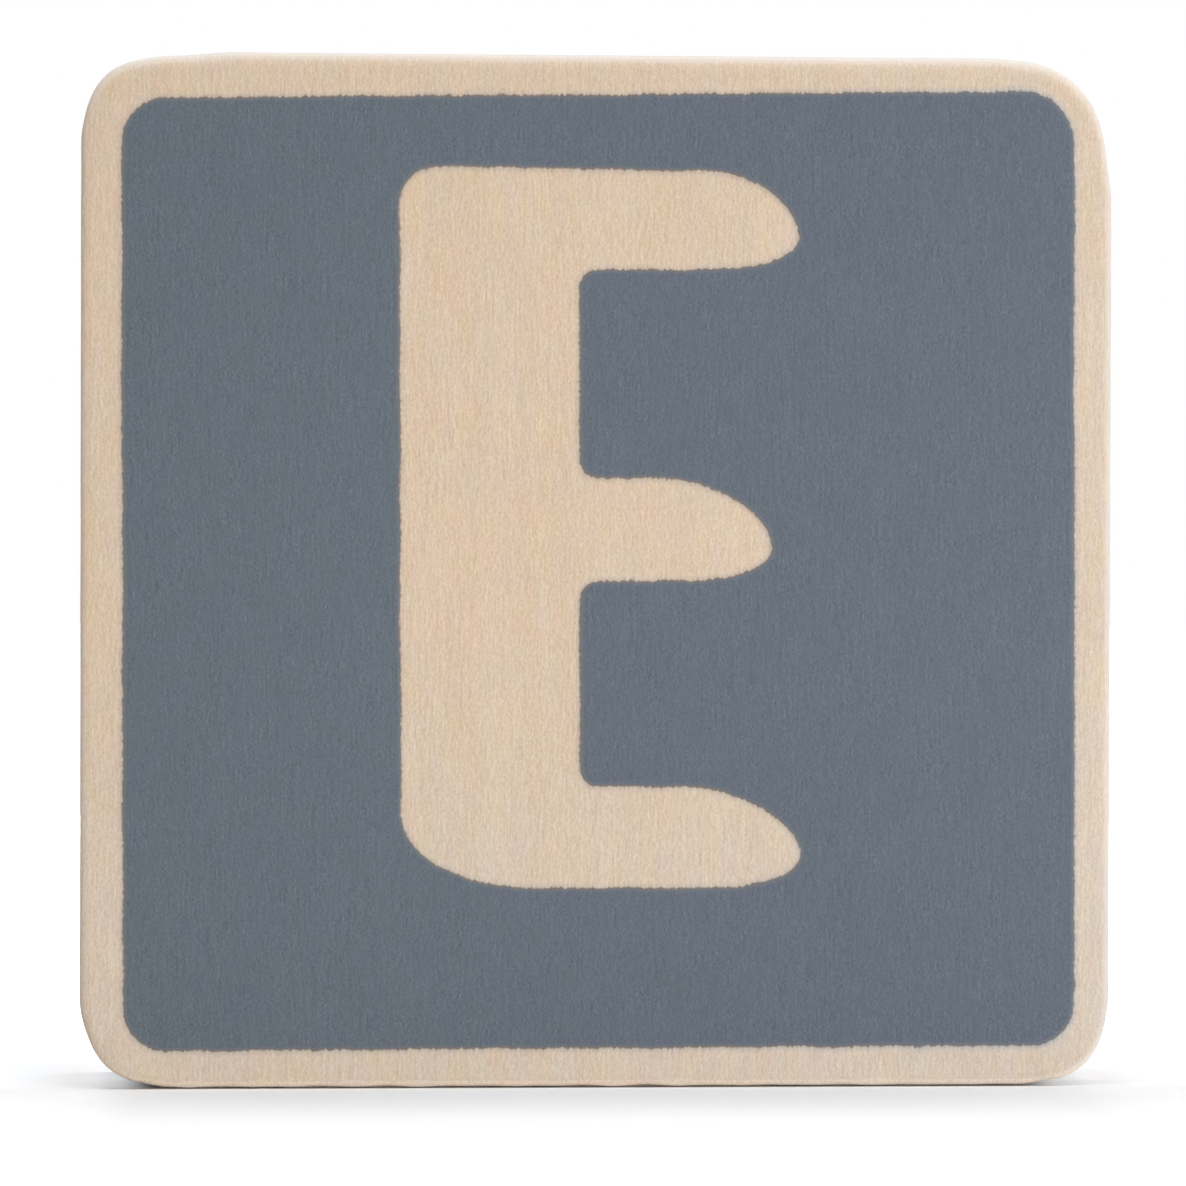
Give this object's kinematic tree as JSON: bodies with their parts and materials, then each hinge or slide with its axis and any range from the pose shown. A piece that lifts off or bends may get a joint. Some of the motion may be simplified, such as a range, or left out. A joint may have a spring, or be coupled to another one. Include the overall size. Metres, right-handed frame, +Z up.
{
  "type": "letter tile",
  "caption": "Square plywood letter tile with rounded corners and sanded edges that stands on its bottom edge, its front printed blue-grey around a letter left as bare wood.",
  "frame": {"origin": "midway through the tile's depth, under the middle of its bottom edge, on the surface that it stands on", "axes": "+Z up the tile, -Y out of the printed face, +X to the right as seen from the front"},
  "size_m": [0.07, 0.012, 0.07],
  "materials": {
    "face_veneer": "sanded pale rotary-cut veneer with fine upright fibres, untreated",
    "long_grain_ply": "sanded veneer edge, grain running upright",
    "cross_grain_ply": "sanded veneer edge, grain running sideways",
    "cured_glue": "thin cured glue line, dull amber brown",
    "matt_ink": "matt blue-grey screen-printed ink, the wood fibres showing through"
  },
  "bodies": {
    "root": {"front_face_veneer": "face_veneer", "glue_line_1": "cured_glue", "inner_ply_1_cross_grain": "cross_grain_ply", "glue_line_2": "cured_glue", "inner_ply_2_long_grain": "long_grain_ply", "glue_line_3": "cured_glue", "inner_ply_3_cross_grain": "cross_grain_ply", "glue_line_4": "cured_glue", "inner_ply_4_long_grain": "long_grain_ply", "glue_line_5": "cured_glue", "inner_ply_5_cross_grain": "cross_grain_ply", "glue_line_6": "cured_glue", "inner_ply_6_long_grain": "long_grain_ply", "glue_line_7": "cured_glue", "inner_ply_7_cross_grain": "cross_grain_ply", "glue_line_8": "cured_glue", "back_face_veneer": "face_veneer", "printed_panel": "matt_ink"}
  },
  "joints": []
}
